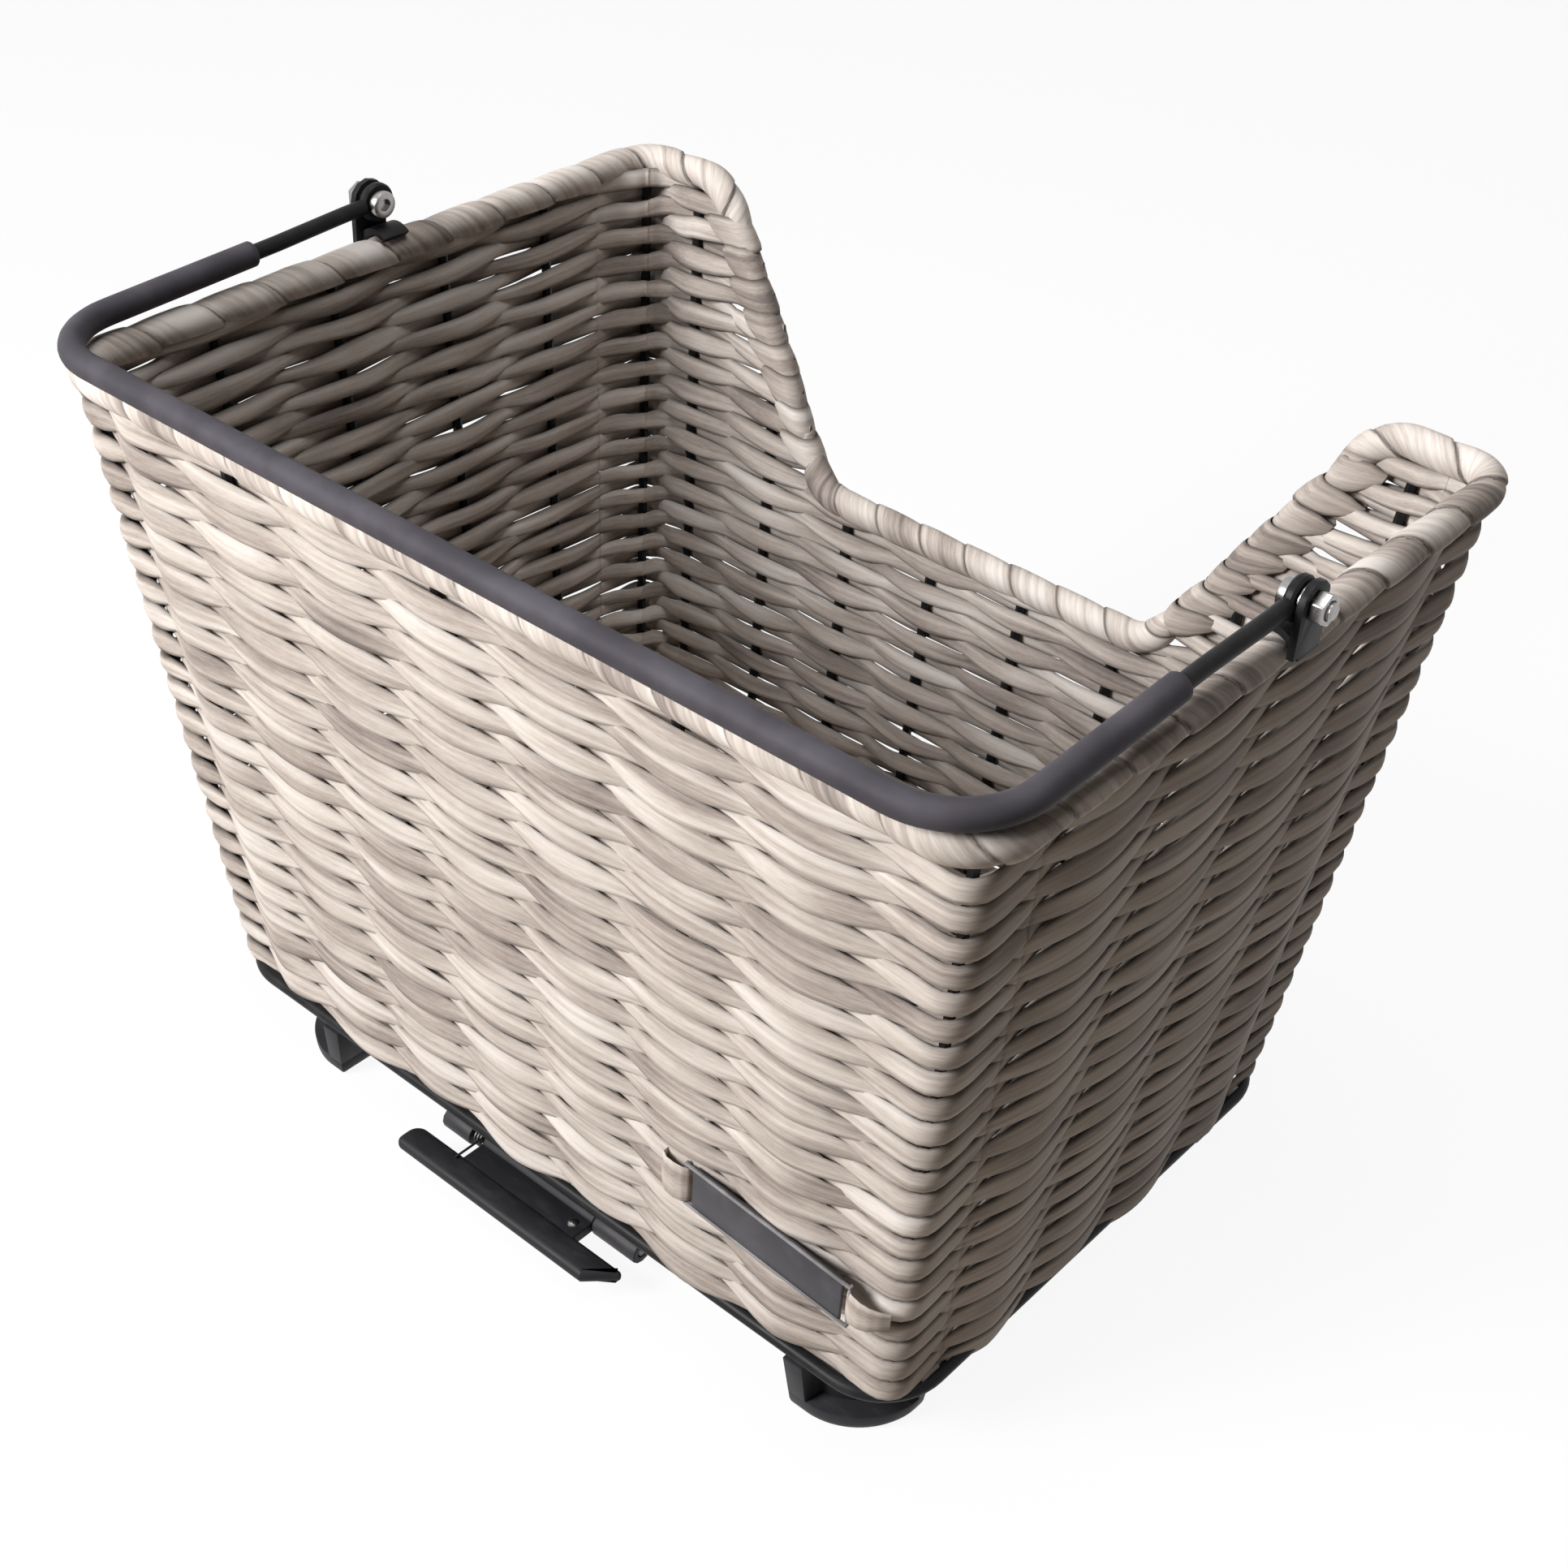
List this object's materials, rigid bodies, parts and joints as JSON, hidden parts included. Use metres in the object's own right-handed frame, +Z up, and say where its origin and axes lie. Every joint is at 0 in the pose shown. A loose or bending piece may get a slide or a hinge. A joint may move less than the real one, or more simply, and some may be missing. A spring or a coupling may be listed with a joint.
{
  "type": "bicycle basket",
  "caption": "Open woven bicycle basket on a wire frame, with a dipped back rim, a swinging carrying handle, corner feet and a sprung quick-release rack adapter.",
  "frame": {"origin": "on the ground under the middle of the basket, from the handle's bar to the back rim", "axes": "+X along the basket to the right, +Y to the back, where the rim dips, +Z up"},
  "size_m": [0.4316, 0.307, 0.3162],
  "materials": {
    "wire": "satin",
    "tape": "matte",
    "rod": "satin",
    "foam": "matte",
    "steel": "satin",
    "adapter": "matte",
    "foot": "matte",
    "badge": "satin"
  },
  "bodies": {
    "basket": {"stake_frame": "wire", "base_grid": "wire", "rim_binding": "tape", "weave_front": "tape", "weave_right": "tape", "weave_back": "tape", "weave_left": "tape", "floor_weave": "tape", "handle_lug_left": "rod", "handle_lug_right": "rod", "foot_screw_front_left": "steel", "foot_screw_front_right": "steel", "foot_screw_back_left": "steel", "foot_screw_back_right": "steel", "adapter_screw_1": "steel", "adapter_screw_2": "steel", "adapter_screw_3": "steel", "adapter_screw_4": "steel", "lever_pin": "steel", "pivot_bolt_left": "steel", "pivot_bolt_right": "steel", "pivot_washer_left": "steel", "pivot_washer_right": "steel", "pivot_nut_left": "steel", "pivot_nut_right": "steel", "adapter_body": "adapter", "clamp_strip_front": "adapter", "clamp_strip_back": "adapter", "foot_front_left": "foot", "foot_front_right": "foot", "foot_back_left": "foot", "foot_back_right": "foot", "badge_plate": "badge"},
    "handle": {"handle_rod": "rod", "handle_grip": "foam"},
    "lever": {"release_lever": "adapter", "lever_stud": "steel", "lever_spring": "steel"}
  },
  "joints": [
    {"name": "handle_swing", "type": "hinge", "parent": "basket", "child": "handle", "pos_m": [0, 0.00285, 0.3085], "axis": [-1, 0, 0], "range_deg": [0, 184.7]},
    {"name": "lever_release", "type": "hinge", "parent": "basket", "child": "lever", "pos_m": [0, -0.11485, 0.012], "axis": [-1, 0, 0], "range_deg": [0, 18], "stiffness_Nm_per_rad": 0.5, "springref_deg": -11.46}
  ]
}
